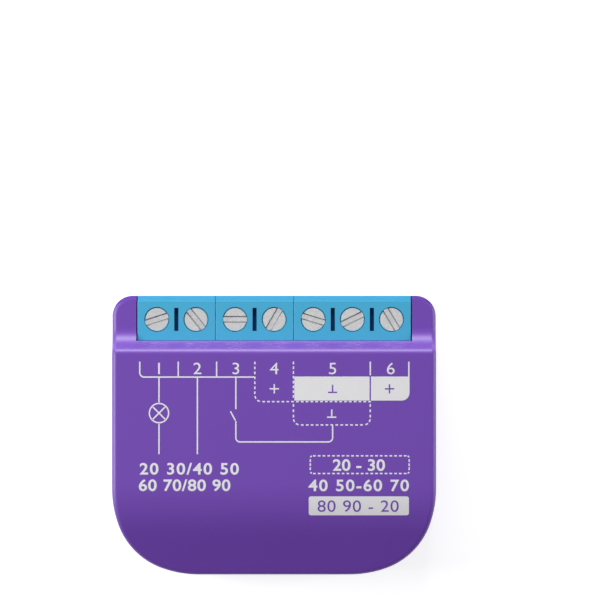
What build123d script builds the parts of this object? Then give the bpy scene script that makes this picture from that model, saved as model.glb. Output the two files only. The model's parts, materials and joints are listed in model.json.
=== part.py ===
from build123d import *
import os
from math import atan2, cos, radians, sin, tan

os.makedirs("parts", exist_ok=True)

# A smart relay module for a wall box. It lies on its back: the back face is at z = 0,
# the front face looks up, the screw terminals are at the +Y end. Lengths are millimetres.
# The origin is the middle of the back face.

# Case. The outline has small corners at the head (terminal) end and, at the tail,
# wide ones made of three tangent arcs.
case_width = 42.0
case_length = 36.2
case_height = 16.0
case_wall = 1.2
head_corner_radius = 2.6
tail_corner_reach = 11.2
tail_middle_radius = 9.34
tail_end_turn = 20.0
right_turn = 90.0
draft_limit = 1.0
rim_radius = 0.6
base_edge_radius = 0.4
least_radius = 0.3

# Front seen from the side: the ledge over the terminals, a hollow foot, a steep wall,
# the flat front, then a long bend down to the sloping toe. The end wall has a low step,
# which leans out a little.
ledge_drop = 3.0
ledge_length = 5.635
steep_run = 1.4
toe_drop = 2.57
toe_run = 8.41
foot_radius = 2.3
brow_radius = 0.85
bend_radius = 22.0
end_step = 0.65
end_step_drop = 1.5
end_step_lean = 6.0

# Clearances and overruns.
overrun = 2.0
fit_gap = 0.1
running_gap = 0.05
seat_gap = 0.02

# Back cover: a tray with a lip inside the front shell, board posts and snap tongues.
parting_height = 2.0
seam_depth = 0.15
seam_height = 0.2
lip_thickness = 0.8
post_radius = 1.1
peg_radius = 0.6
peg_height = 0.9
post_inset = 4.2
tail_post_inset = 11.1
tongue_width = 3.2
tongue_height = 6.2
snap_height = 5.4
snap_length = 0.8
snap_reach = 0.3
side_tongue_inset = 10.7
tail_tongue_share = 0.6633

# Main board.
board_gap = 1.0
board_thickness = 1.0
board_edge_gap = 0.15
lead_radius = 0.3
lead_tail = 0.5
pin_hole_radius = 0.65

# Hold-down ribs inside the front shell, at shares of the bay's length.
rib_thickness = 0.9
rib_reach = 1.6
rib_height = 6.0
rib_place_shares = (0.6867, 0.2787)

# Terminal blocks: rising cage clamps in a row across the case. The height shares are
# of a block's height, the radius shares of the pole pitch.
block_names = ("terminal_block_left", "terminal_block_middle", "terminal_block_right")
strip_names = ("contact_strips_left", "contact_strips_middle", "contact_strips_right")
block_pole_counts = (2, 2, 3)
row_side_margin = 3.22
screw_line_depth = 3.07
block_depth = 5.85
block_rise = 0.05
block_seam = 0.06
block_side_gap = 0.12
block_edge_radius = 0.06
heel_length = 0.75
heel_drop = 1.0
cheek_thickness = 0.8
collar_thickness = 0.4
chamber_partition = 0.88
chamber_depth = 4.0
marker_slot_width = 0.54
marker_slot_length = 3.0
marker_slot_depth = 1.9

# Clamp screw, a captive slotted pan-head M2.5 screw.
screw_radius_share = 0.2461
head_radius_share = 0.3051
head_height_share = 0.1472
head_sink = 0.15
head_hole_gap = 0.06
head_edge = 0.08
drive_width = 0.9
drive_depth = 0.45
drive_taper = 20.0
drive_angles = (18.0, -51.0, 0.0, 60.0, -17.0, 26.0, -59.5)

# Clamp cage and the contact strip that passes through it.
cage_travel_share = 0.2284
cage_top_share = 0.0914
wire_space_share = 0.2386
cage_depth = 3.7
cage_side = 0.55
cage_floor = 0.6
cage_round = 0.5
strip_thickness = 0.6
strip_side_gap = 0.25
strip_pin_width = 1.0
strip_back_depth = 5.9

# Places and sizes on the board are shares of the bay: its width, from the middle, and
# its length, from the tail edge to the terminal blocks. Height shares are of the height
# above the board, under the flat front or under the toe.

# Relay: a clapper type, its coil lying along Y. Its parts are shares of its own size.
relay_place_share = -0.336
relay_width_share = 0.272
relay_length_share = 0.6703
relay_height_share = 0.9138
relay_head_gap = 2.1
relay_skin = 0.6
relay_headroom = 0.5
relay_base_height = 1.0
coil_front_share = 0.25
coil_rear_share = 0.2826
core_radius_share = 0.24
tube_wall_share = 0.1
winding_inset = 0.15
flange_width_share = 0.7255
flange_thickness = 0.6
flange_clearance = 0.4
yoke_width_share = 0.6275
yoke_thickness = 1.0
pole_stand = 0.35
pole_gap = 0.36
armature_thickness = 0.9
armature_gap = 0.12
armature_clearance = 0.35
blade_width_share = 0.2353
blade_thickness = 0.25
blade_overlap_share = 0.7213
rivet_radius_share = 0.0708
rivet_length = 0.7
contact_gap = 0.5
contact_height_share = 0.1179
fixed_strip_thickness = 0.5
relay_leg_width = 0.8
relay_leg_thickness = 0.5
coil_pin_share = 0.5882
leaf_thickness = 0.2
leaf_width_share = 0.2941
leaf_length_share = 0.3261
leaf_drop = 1.4

# Mains side: transformer, capacitors, varistor, fusible resistor, rectifier, choke.
transformer_place_shares = (-0.016, 0.7705)
core_size_shares = (0.2667, 0.1676)
core_height_share = 0.7414
core_post_share = 0.26
core_window_share = 0.23
core_yoke_share = 0.1744
spool_wall = 0.4
spool_flange = 0.6
winding_step = 0.2
core_stand = 0.4
rail_pins = 3
rail_pin_share = 0.457
winding_round = 1.0

can_place_shares = ((0.2213, 0.8397), (0.4, 0.8397))
can_size_shares = (0.1653, 0.2259)
can_height_share = 0.8276
can_groove_height = 1.4
can_groove_depth = 0.25
can_edge = 0.3
can_lead_share = 0.806
can_scribe_width = 0.3
can_scribe_depth = 0.15

varistor_place_shares = (0.2347, 0.5811)
varistor_size_shares = (0.0853, 0.2477)
varistor_height_share = 0.5862
varistor_edge = 0.9
varistor_stand = 0.5
varistor_lead_share = 1.47

resistor_place_share = 0.5446
resistor_size_shares = (0.072, 0.2332)
resistor_switch_gap = 0.75
resistor_lead_reach = 0.9
resistor_stand = 0.3

rectifier_place_shares = (-0.1067, 0.4681)
rectifier_size_shares = (0.1813, 0.1457)
rectifier_height = 2.4
rectifier_pins = 2

power_chip_place_shares = (0.0693, 0.4681)
power_chip_size_shares = (0.1573, 0.1785)
power_chip_height = 1.5
power_chip_pins = 4

gull_width = 0.42
gull_reach_share = 0.15
gull_height = 0.6
gull_thickness = 0.2

choke_place_shares = (0.344, 0.2204)
choke_size_shares = (0.1333, 0.1821)
choke_height_share = 0.6645
choke_flange = 0.8
choke_waist = 0.5
choke_lead_share = 1.2

film_cap_place_share = -0.328
film_cap_width_share = 0.1547
film_cap_height_share = 0.8859
film_cap_relay_gap = 0.7
film_cap_tail_gap = 2.65
film_cap_edge = 0.3
film_cap_lead_share = 0.724

# Flat parts under the board, at the current path.
shunt_place_shares = (-0.096, 0.7377)
shunt_size_shares = (0.168, 0.1166)
shunt_height = 0.6
meter_place_shares = (0.1493, 0.7377)
meter_size_shares = (0.1067, 0.1457)
meter_height = 0.75

# Radio board with its shield can and antenna strip, soldered flat on the main board.
radio_place_shares = (0.04, 0.1621)
radio_size_shares = (0.4533, 0.2987)
radio_thickness = 0.8
shield_width_share = 0.6706
shield_length_share = 0.8293
shield_shift_share = -0.1294
shield_height = 2.2
shield_wall = 0.2
shield_edge = 0.3
radio_chip_share = 0.7353
radio_chip_height = 0.9
antenna_width = 0.5
antenna_thickness = 0.1
antenna_legs = 3
antenna_pitch_share = 0.0824
antenna_leg_share = 0.6585
antenna_shift_share = 0.3529

# Small chip resistors and capacitors, in rows.
chip_width = 1.0
chip_length = 0.6
chip_height = 0.4
chip_row_place_shares = (-0.0107, 0.3406)
chip_row_pitch_share = 0.0507
chip_row_count = 6
chip_side_place_shares = (0.4533, 0.2277)
chip_side_pitch_share = 0.0474
chip_side_count = 2

# Side push button on the +X wall, over a right-angle switch.
button_place_share = 0.4608
button_height = 1.9
button_radius = 1.2
button_sink = 0.25
button_travel = 0.25
button_flange_radius = 1.65
button_flange_thickness = 0.6
button_edge = 0.2
switch_length = 4.4
switch_depth = 2.8
switch_height = 3.5
switch_stand = 0.95
plunger_radius = 0.8
plunger_hold = 0.9

# Status light beside the button, shown through a clear pipe.
light_place_share = 0.6211
light_height = 0.8
light_pipe_radius = 0.65
light_pipe_sink = 0.1
light_width = 1.6
light_depth = 1.2
light_inset = 2.9

# Levels and places that follow from the sizes above.
seated = (Align.CENTER, Align.CENTER, Align.MIN)
hung = (Align.CENTER, Align.CENTER, Align.MAX)
half_width = case_width / 2
half_length = case_length / 2
ledge_height = case_height - ledge_drop
end_step_height = ledge_height - end_step_drop
end_step_low = end_step_height - end_step * tan(radians(end_step_lean))
board_bottom = case_wall + board_gap
board_top = board_bottom + board_thickness
leg_bottom = board_bottom - lead_tail
lip_inset = case_wall + fit_gap
lip_top = board_top - running_gap
board_inset = lip_inset + lip_thickness + board_edge_gap
tail_tongue_x = (half_width - tail_corner_reach) * tail_tongue_share
side_tongue_y = half_length - side_tongue_inset
post_rows = (half_length - post_inset, tail_post_inset - half_length)
post_places = [(side * (half_width - post_inset), y) for side in (1, -1) for y in post_rows]
tongue_planes = [
    Plane((half_width - lip_inset, side_tongue_y, 0), x_dir=(0, -1, 0), z_dir=(0, 0, 1)),
    Plane((lip_inset - half_width, side_tongue_y, 0), x_dir=(0, 1, 0), z_dir=(0, 0, 1)),
    Plane((tail_tongue_x, lip_inset - half_length, 0), x_dir=(-1, 0, 0), z_dir=(0, 0, 1)),
    Plane((-tail_tongue_x, lip_inset - half_length, 0), x_dir=(-1, 0, 0), z_dir=(0, 0, 1)),
]

# Terminals, from the top down.
pole_count_total = sum(block_pole_counts)
pole_pitch = (case_width - 2 * row_side_margin) / pole_count_total
screw_places = [(i - (pole_count_total - 1) / 2) * pole_pitch for i in range(pole_count_total)]
screw_y = half_length - screw_line_depth
notch_half = half_width - row_side_margin + block_side_gap
block_back = half_length - block_depth + seat_gap
heel_back = block_back - heel_length
block_top = ledge_height + block_rise
block_height = block_top - board_top
heel_top = block_top - heel_drop
cheek_bottom = board_top + fit_gap
screw_radius = screw_radius_share * pole_pitch
head_radius = head_radius_share * pole_pitch
head_height = head_height_share * block_height
head_top = block_top - head_sink
head_bottom = head_top - head_height
chamber_top = head_bottom - collar_thickness
chamber_front = screw_y + chamber_depth / 2
chamber_width = pole_pitch - chamber_partition
cage_width = chamber_width - 2 * fit_gap
entry_width = cage_width - 2 * cage_side
strip_width = entry_width - 2 * strip_side_gap
cage_travel = cage_travel_share * block_height
cage_top = cage_top_share * block_height
wire_space = wire_space_share * block_height
cage_rest_roof = chamber_top - fit_gap - cage_travel - cage_top
strip_top = cage_rest_roof - fit_gap
strip_bottom = strip_top - strip_thickness
entry_bottom = strip_bottom - wire_space
cage_bottom = entry_bottom - cage_floor
cage_height = cage_rest_roof + cage_top - cage_bottom
strip_back = half_length - strip_back_depth
channel_depth = screw_y - chamber_depth / 2 - strip_back + 2 * fit_gap
channel_y = strip_back - fit_gap + channel_depth / 2
strip_pins = [(x, strip_back + strip_thickness / 2) for x in screw_places]

# The bay: the room on the board behind the terminal blocks.
bay_width = case_width - 2 * board_inset
bay_tail = board_inset - half_length
bay_length = heel_back - bay_tail
bay_height = case_height - case_wall - board_top
toe_bay_height = bay_height - toe_drop


def place(shares):
    """Point on the board for shares of the bay's width and length."""
    across, along = shares
    return across * bay_width, bay_tail + along * bay_length


def size(shares):
    """Width and length for shares of the bay's width and length."""
    across, along = shares
    return across * bay_width, along * bay_length


rib_rows = [bay_tail + share * bay_length for share in rib_place_shares]
rib_places = [(side * (half_width - case_wall), y) for side in (1, -1) for y in rib_rows]

# Relay, from the base up and from the armature back.
relay_x = relay_place_share * bay_width
relay_width = relay_width_share * bay_width
relay_length = relay_length_share * bay_length
relay_height = relay_height_share * bay_height
relay_y = heel_back - relay_head_gap - relay_length / 2
relay_base_top = board_top + relay_base_height
rivet_radius = rivet_radius_share * relay_height
contact_z = relay_base_top + contact_height_share * relay_height
contact_top = contact_z + rivet_radius
yoke_top = board_top + relay_height - relay_skin - relay_headroom
flange_top = yoke_top - yoke_thickness - fit_gap
flange_height = flange_top - contact_top - flange_clearance
coil_z = flange_top - flange_height / 2
coil_front_y = relay_y - coil_front_share * relay_length
coil_rear_y = relay_y + coil_rear_share * relay_length
coil_length = coil_rear_y - coil_front_y
front_flange_y = coil_front_y + flange_thickness / 2
rear_flange_y = coil_rear_y - flange_thickness / 2
flange_width = flange_width_share * relay_width
core_radius = core_radius_share * flange_height
tube_radius = core_radius + running_gap + tube_wall_share * flange_height
winding_radius = flange_height / 2 - winding_inset
yoke_width = yoke_width_share * relay_width
yoke_rear_y = coil_rear_y + running_gap + yoke_thickness
yoke_leg_y = yoke_rear_y - yoke_thickness / 2
pole_face_y = coil_front_y - pole_stand
armature_face_y = pole_face_y - pole_gap
yoke_front_y = armature_face_y + armature_gap
armature_top = yoke_top - running_gap
armature_bottom = contact_top + armature_clearance
armature_length = armature_top - armature_bottom
blade_width = blade_width_share * relay_width
blade_top = armature_bottom + blade_overlap_share * armature_length
blade_face_y = armature_face_y - armature_thickness
fixed_rivet_y = blade_face_y + rivet_length + contact_gap
fixed_strip_y = coil_front_y - fixed_strip_thickness / 2
fixed_leg_y = fixed_strip_y + fixed_strip_thickness / 2
leaf_width = leaf_width_share * relay_width
leaf_length = leaf_length_share * relay_length
leaf_front_y = blade_face_y - blade_thickness - fit_gap - leaf_thickness
coil_pin_x = [relay_x + side * coil_pin_share * relay_width / 2 for side in (1, -1)]
coil_pin_places = [(x, rear_flange_y) for x in coil_pin_x]
relay_leg_places = [(relay_x, yoke_leg_y), (relay_x, fixed_leg_y)] + coil_pin_places

# Button and status light, level with their switch and chip on the board.
button_y = bay_tail + button_place_share * bay_length
button_z = board_top + button_height
button_flange_x = half_width - case_wall - fit_gap - button_flange_thickness
switch_face = button_flange_x - running_gap - switch_stand
light_y = bay_tail + light_place_share * bay_length
light_z = board_top + light_height
light_face = half_width - light_inset

# Transformer.
transformer_x, transformer_y = place(transformer_place_shares)
core_width, core_depth = size(core_size_shares)
core_height = core_height_share * bay_height
core_post = core_post_share * core_width
core_window = core_window_share * core_width
core_yoke = core_yoke_share * core_height
core_bottom = board_top + core_stand
spool_bottom = core_bottom + core_yoke
core_window_height = core_height - 2 * core_yoke
spool_height = core_window_height - running_gap
spool_width = core_post + 2 * (fit_gap + spool_wall)
spool_length = core_depth + 2 * (fit_gap + spool_wall)
spool_flange_reach = core_window - 2 * fit_gap - spool_wall
winding_reach = spool_flange_reach - winding_step
flange_span_x = spool_width + 2 * spool_flange_reach
flange_span_y = spool_length + 2 * spool_flange_reach
rail_depth = spool_wall + spool_flange_reach
rail_y = [transformer_y + side * (flange_span_y - rail_depth) / 2 for side in (1, -1)]
rail_pin_pitch = rail_pin_share * flange_span_x
rail_pin_x = [transformer_x + (i - (rail_pins - 1) / 2) * rail_pin_pitch for i in range(rail_pins)]
transformer_pins = [(x, y) for y in rail_y for x in rail_pin_x]

# The other parts with leads. A round part's diameter is the smaller side of its cell.
can_places = [place(shares) for shares in can_place_shares]
can_radius = min(size(can_size_shares)) / 2
can_height = can_height_share * bay_height
can_leads = [(x + side * can_lead_share * can_radius / 2, y) for x, y in can_places for side in (1, -1)]
varistor_x, varistor_y = place(varistor_place_shares)
varistor_thickness, varistor_room = size(varistor_size_shares)
varistor_radius = min(varistor_room, varistor_height_share * bay_height) / 2
varistor_z = board_top + varistor_stand + varistor_radius
varistor_lead_reach = varistor_lead_share * varistor_radius / 2
varistor_leads = [(varistor_x, varistor_y + side * varistor_lead_reach) for side in (1, -1)]
resistor_diameter, resistor_length = size(resistor_size_shares)
resistor_radius = resistor_diameter / 2
resistor_x = switch_face - switch_depth - resistor_switch_gap - resistor_radius
resistor_y = bay_tail + resistor_place_share * bay_length
resistor_z = board_top + resistor_stand + resistor_radius
resistor_lead_span = resistor_length + 2 * resistor_lead_reach
resistor_leads = [(resistor_x, resistor_y + side * resistor_lead_span / 2) for side in (1, -1)]
choke_x, choke_y = place(choke_place_shares)
choke_radius = min(size(choke_size_shares)) / 2
choke_height = choke_height_share * toe_bay_height
choke_leads = [(choke_x + side * choke_lead_share * choke_radius / 2, choke_y) for side in (1, -1)]
film_cap_x = film_cap_place_share * bay_width
film_cap_width = film_cap_width_share * bay_width
film_cap_height = film_cap_height_share * toe_bay_height
film_cap_head_y = relay_y - relay_length / 2 - film_cap_relay_gap
film_cap_tail_y = bay_tail + film_cap_tail_gap
film_cap_y = (film_cap_head_y + film_cap_tail_y) / 2
film_cap_lead_reach = film_cap_lead_share * film_cap_width / 2
film_cap_leads = [(film_cap_x + side * film_cap_lead_reach, film_cap_y) for side in (1, -1)]
pin_places = strip_pins + relay_leg_places
lead_places = transformer_pins + can_leads + varistor_leads + resistor_leads + choke_leads + film_cap_leads

# Flat parts.
shunt_x, shunt_y = place(shunt_place_shares)
shunt_width, shunt_length = size(shunt_size_shares)
meter_x, meter_y = place(meter_place_shares)
meter_width, meter_length = size(meter_size_shares)
radio_x, radio_y = place(radio_place_shares)
radio_width, radio_length = size(radio_size_shares)
radio_top = board_top + radio_thickness
shield_x = radio_x + shield_shift_share * radio_width
shield_width = shield_width_share * radio_width
shield_length = shield_length_share * radio_length
radio_chip_size = radio_chip_share * shield_length


def case_outline(inset, height, keep=Mode.REPLACE, setback=0):
    """Outline of the case, drawn in by inset, on a level plane, or the rim outside that.
    The terminal end alone is drawn in by setback."""
    turn = radians(tail_end_turn)
    spread = sin(turn) + 1 - cos(turn)
    tail_end_radius = (tail_corner_reach - tail_middle_radius * (cos(turn) - sin(turn))) / spread
    with BuildSketch(Plane.XY.offset(height)) as outline:
        with BuildLine():
            start = (half_width - tail_corner_reach, -half_length)
            first = JernArc(start, (1, 0), tail_end_radius, tail_end_turn)
            middle = JernArc(first @ 1, first % 1, tail_middle_radius, right_turn - 2 * tail_end_turn)
            last = JernArc(middle @ 1, middle % 1, tail_end_radius, tail_end_turn)
            side = Line(last @ 1, (half_width, half_length - head_corner_radius))
            corner = JernArc(side @ 1, (0, 1), head_corner_radius - setback, right_turn)
            Line(corner @ 1, (0, half_length - setback))
            Line((0, -half_length), first @ 0)
            mirror(about=Plane.YZ)
        make_face()
        if inset:
            offset(amount=-inset, mode=keep)
    return outline.sketch


def front_profile(inset):
    """Side view of the case above the parting, drawn in by inset, in the YZ plane."""
    steep = atan2(case_height - ledge_height, steep_run)
    dip = atan2(toe_drop, toe_run)
    top = case_height - inset
    ledge = ledge_height - inset
    end = half_length - inset
    foot = half_length - ledge_length - inset * tan(steep / 2)
    brow = foot - steep_run
    bend = toe_run - half_length + inset * tan(dip / 2)
    toe = -half_length - overrun
    toe_height = top - (bend - toe) * tan(dip)
    corners = ((foot, ledge), (brow, top), (bend, top))
    radii = (foot_radius + inset, max(brow_radius - inset, least_radius), bend_radius - inset)
    with BuildSketch(Plane.YZ) as profile:
        with BuildLine():
            Polyline(
                (end, 0), (end, ledge), *corners, (toe, toe_height), (toe, 0), close=True,
            )
        make_face()
        for corner, radius in zip(corners, radii):
            fillet(profile.vertices().sort_by_distance(corner)[0], radius)
    return profile.sketch


def solid_case(inset):
    """The case as a solid block above the parting, drawn in by inset."""
    with BuildPart() as block:
        extrude(case_outline(inset, parting_height), amount=end_step_height - inset - parting_height)
        extrude(case_outline(inset, parting_height, setback=end_step), amount=case_height)
        extrude(front_profile(inset), amount=case_width, both=True, mode=Mode.INTERSECT)
        with BuildSketch(Plane.YZ):
            with BuildLine():
                Polyline((half_length - inset, end_step_height - inset), (half_length - inset, end_step_low - inset),
                         (half_length - inset - end_step, end_step_height - inset), close=True)
            make_face()
        extrude(amount=case_width, both=True, mode=Mode.SUBTRACT)
    return block.part


def is_upright(face):
    """True for a face of the side wall."""
    return abs(face.normal_at().Z) < sin(radians(draft_limit))


def is_rim(edge):
    """True for an upper edge that runs along the side wall, not up it."""
    return edge.center().Z > end_step_height + fit_gap and abs((edge % 0.5).Z) < cos(radians(tail_end_turn))


def is_can_rim(edge):
    """True for the round upper edge of a can."""
    return edge.geom_type == GeomType.CIRCLE and edge.center().Z > board_top + can_height - can_edge


# Outer form of the front shell. Its rim is rounded before the end step is cut, so the
# edge of the step stays sharp.
with BuildPart() as shell_form:
    extrude(case_outline(0, parting_height), amount=case_height)
    extrude(front_profile(0), amount=case_width, both=True, mode=Mode.INTERSECT)
    walls = shell_form.faces().filter_by(is_upright)
    fillet(walls.edges().filter_by(is_rim), rim_radius)
    add(solid_case(0), mode=Mode.INTERSECT)

# Front shell: the domed moulding with a notch for the terminal blocks.
with BuildPart() as front_housing:
    add(shell_form.part)
    add(solid_case(case_wall), mode=Mode.SUBTRACT)
    # Cheeks close the shell beside the notch, above the board.
    with Locations([(side * notch_half, half_length, cheek_bottom) for side in (1, -1)]):
        Box(2 * cheek_thickness, 2 * block_depth, ledge_height - cheek_bottom, align=seated)
    with Locations((0, half_length, parting_height)):
        Box(2 * notch_half, 2 * block_depth, case_height, align=seated, mode=Mode.SUBTRACT)
    # Hold-down ribs reach from the side walls over the edge of the board.
    with Locations([(x, y, board_top + running_gap) for x, y in rib_places]):
        Box(2 * rib_reach, rib_thickness, rib_height, align=seated)
    add(shell_form.part, mode=Mode.INTERSECT)
    # A fine groove along the parting line.
    extrude(case_outline(seam_depth, parting_height, keep=Mode.SUBTRACT), amount=seam_height,
            mode=Mode.SUBTRACT)
    # Grooves for the snaps of the back cover.
    with Locations(tongue_planes):
        with Locations((0, 0, snap_height + fit_gap)):
            Box(tongue_width + 2 * fit_gap, 2 * (snap_reach + fit_gap), snap_length + 2 * fit_gap,
                align=hung, mode=Mode.SUBTRACT)
    # Holes for the button and the light pipe in the right-hand wall.
    with Locations(Plane((half_width, button_y, button_z), z_dir=(1, 0, 0))):
        Hole(button_radius + fit_gap, depth=2 * case_wall)
    with Locations(Plane((half_width, light_y, light_z), z_dir=(1, 0, 0))):
        Hole(light_pipe_radius + running_gap, depth=2 * case_wall)
front_housing.part.label = "front_housing"
export_step(front_housing.part, "parts/front_housing.step")

# Back cover: a tray whose lip stands inside the shell, with posts under the board.
with BuildPart() as back_cover:
    extrude(case_outline(0, 0), amount=parting_height)
    fillet(back_cover.faces().sort_by(Axis.Z)[0].edges(), base_edge_radius)
    extrude(case_outline(lip_inset, parting_height), amount=lip_top - parting_height)
    extrude(case_outline(lip_inset + lip_thickness, case_wall), amount=case_height, mode=Mode.SUBTRACT)
    # Sill under the front of the terminal blocks.
    with Locations((0, half_length, parting_height)):
        Box(2 * (notch_half - fit_gap), 2 * lip_inset, lip_top - parting_height, align=seated)
    extrude(case_outline(0, 0), amount=case_height, mode=Mode.INTERSECT)
    with Locations(tongue_planes):
        with Locations((0, -lip_thickness / 2, case_wall)):
            Box(tongue_width, lip_thickness, tongue_height - case_wall, align=seated)
        with Locations((0, (snap_reach - lip_thickness) / 2, snap_height)):
            Box(tongue_width, snap_reach + lip_thickness, snap_length, align=hung)
    with Locations([(x, y, case_wall) for x, y in post_places]):
        Cylinder(post_radius, board_gap, align=seated)
        Cylinder(peg_radius, board_gap + peg_height, align=seated)
back_cover.part.label = "back_cover"
export_step(back_cover.part, "parts/back_cover.step")

# Main board, with a hole for every lead, pin and peg.
with BuildPart() as main_board:
    extrude(case_outline(board_inset, board_bottom), amount=board_thickness)
    with Locations([(x, y, board_top) for x, y in post_places]):
        Hole(peg_radius + fit_gap, depth=board_thickness)
    with Locations([(x, y, board_top) for x, y in pin_places]):
        Hole(pin_hole_radius, depth=board_thickness)
    with Locations([(x, y, board_top) for x, y in lead_places]):
        Hole(lead_radius + fit_gap, depth=board_thickness)
main_board.part.label = "main_board"
export_step(main_board.part, "parts/main_board.step")

# Terminal blocks. Each one is open below, where its cages and strips go in.
block_first_poles = [sum(block_pole_counts[:i]) for i in range(len(block_pole_counts))]

for block_name, first_pole, pole_count in zip(block_names, block_first_poles, block_pole_counts):
    block_screws = screw_places[first_pole:first_pole + pole_count]
    block_x = sum(block_screws) / pole_count
    with BuildPart() as terminal_block:
        with BuildSketch(Plane.YZ.offset(block_x)):
            with BuildLine():
                Polyline(
                    (half_length, board_top), (half_length, end_step_low),
                    (half_length - end_step, end_step_height), (half_length - end_step, block_top),
                    (block_back, block_top), (block_back, heel_top), (heel_back, heel_top),
                    (heel_back, board_top), close=True,
                )
            make_face()
        extrude(amount=(pole_count * pole_pitch - block_seam) / 2, both=True)
        fillet(terminal_block.faces().sort_by(Axis.Z)[-1].edges(), block_edge_radius)
        with Locations([(x, screw_y, board_top) for x in block_screws]):
            Box(chamber_width, chamber_depth, chamber_top - board_top, align=seated, mode=Mode.SUBTRACT)
        with Locations([(x, channel_y, board_top) for x in block_screws]):
            Box(strip_width + 2 * fit_gap, channel_depth, strip_top + fit_gap - board_top,
                align=seated, mode=Mode.SUBTRACT)
        with Locations([(x, chamber_front, entry_bottom) for x in block_screws]):
            Box(entry_width, case_width, wire_space, align=(Align.CENTER, Align.MIN, Align.MIN),
                mode=Mode.SUBTRACT)
        with Locations([(x, screw_y, block_top) for x in block_screws]):
            CounterBoreHole(screw_radius + fit_gap, head_radius + head_hole_gap,
                            head_sink + head_height + running_gap,
                            depth=block_top - chamber_top + running_gap)
        with Locations([(x + pole_pitch / 2, screw_y, block_top) for x in block_screws[:-1]]):
            Box(marker_slot_width, marker_slot_length, marker_slot_depth, align=hung, mode=Mode.SUBTRACT)
    terminal_block.part.label = block_name
    export_step(terminal_block.part, f"parts/{block_name}.step")

# Contact strips, one L-shaped bar with a solder pin for each pole.
for strip_name, first_pole, pole_count in zip(strip_names, block_first_poles, block_pole_counts):
    with BuildPart() as contact_strips:
        for x in screw_places[first_pole:first_pole + pole_count]:
            with Locations((x, strip_back, strip_top)):
                Box(strip_width, chamber_front - running_gap - strip_back, strip_thickness,
                    align=(Align.CENTER, Align.MIN, Align.MAX))
                Box(strip_width, strip_thickness, strip_top - board_top,
                    align=(Align.CENTER, Align.MIN, Align.MAX))
                Box(strip_pin_width, strip_thickness, strip_top - leg_bottom,
                    align=(Align.CENTER, Align.MIN, Align.MAX))
    contact_strips.part.label = strip_name
    export_step(contact_strips.part, f"parts/{strip_name}.step")

# Clamp screws and the cages that rise on them.
for i, (screw_x, drive_angle) in enumerate(zip(screw_places, drive_angles), start=1):
    with BuildPart() as terminal_screw:
        with Locations((screw_x, screw_y, strip_top + running_gap)):
            Cylinder(screw_radius, head_bottom - strip_top - running_gap, align=seated)
        with Locations((screw_x, screw_y, head_bottom)):
            Cylinder(head_radius, head_height, align=seated)
        chamfer(terminal_screw.faces().sort_by(Axis.Z)[-1].edges(), head_edge)
        # The drive slot narrows towards its floor.
        drive_run = (cos(radians(drive_angle)), sin(radians(drive_angle)), 0)
        with BuildSketch(Plane((screw_x, screw_y, head_top), x_dir=drive_run, z_dir=(0, 0, -1))):
            Rectangle(4 * head_radius, drive_width)
        extrude(amount=drive_depth, taper=drive_taper, mode=Mode.SUBTRACT)
    terminal_screw.part.label = f"terminal_screw_{i}"
    export_step(terminal_screw.part, f"parts/terminal_screw_{i}.step")

    with BuildPart() as clamp_cage:
        with Locations((screw_x, screw_y, cage_bottom)):
            Box(cage_width, cage_depth, cage_height, align=seated)
        with Locations((screw_x, screw_y, entry_bottom)):
            Box(cage_width - 2 * cage_side, cage_depth, cage_rest_roof - entry_bottom, align=seated,
                mode=Mode.SUBTRACT)
        with Locations((screw_x, screw_y, cage_bottom + cage_height)):
            Hole(screw_radius + running_gap, depth=cage_top)
        fillet(clamp_cage.edges().filter_by(Axis.Y).group_by(Axis.Z)[-1], cage_round)
        fillet(clamp_cage.edges().filter_by(Axis.Y).group_by(Axis.Z)[0], cage_round)
    clamp_cage.part.label = f"clamp_cage_{i}"
    export_step(clamp_cage.part, f"parts/clamp_cage_{i}.step")

# Relay base, with slots for its legs.
with BuildPart() as relay_base:
    with Locations((relay_x, relay_y, board_top)):
        Box(relay_width - 2 * (relay_skin + running_gap), relay_length - 2 * (relay_skin + running_gap),
            relay_base_height, align=seated)
    with Locations([(x, y, relay_base_top) for x, y in relay_leg_places]):
        Hole(pin_hole_radius, depth=relay_base_height)
relay_base.part.label = "relay_base"
export_step(relay_base.part, "parts/relay_base.step")

# Relay cover, a clear-moulded box open below.
with BuildPart() as relay_cover:
    with Locations((relay_x, relay_y, board_top + running_gap)):
        Box(relay_width, relay_length, relay_height - running_gap, align=seated)
    fillet(relay_cover.edges().filter_by(Axis.Z), least_radius)
    fillet(relay_cover.faces().sort_by(Axis.Z)[-1].edges(), least_radius)
    with Locations((relay_x, relay_y, board_top)):
        Box(relay_width - 2 * relay_skin, relay_length - 2 * relay_skin, relay_height - relay_skin,
            align=seated, mode=Mode.SUBTRACT)
relay_cover.part.label = "relay_cover"
export_step(relay_cover.part, "parts/relay_cover.step")

# Relay bobbin: a tube between two square flanges, its bore along Y.
with BuildPart() as relay_bobbin:
    with Locations((relay_x, front_flange_y, coil_z), (relay_x, rear_flange_y, coil_z)):
        Box(flange_width, flange_thickness, flange_height)
    with BuildSketch(Plane((relay_x, coil_front_y, coil_z), x_dir=(1, 0, 0), z_dir=(0, 1, 0))):
        Circle(tube_radius)
    extrude(amount=coil_length)
    with BuildSketch(Plane((relay_x, coil_front_y, coil_z), x_dir=(1, 0, 0), z_dir=(0, 1, 0))):
        Circle(core_radius + running_gap)
    extrude(amount=coil_length, mode=Mode.SUBTRACT)
relay_bobbin.part.label = "relay_bobbin"
export_step(relay_bobbin.part, "parts/relay_bobbin.step")

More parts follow.
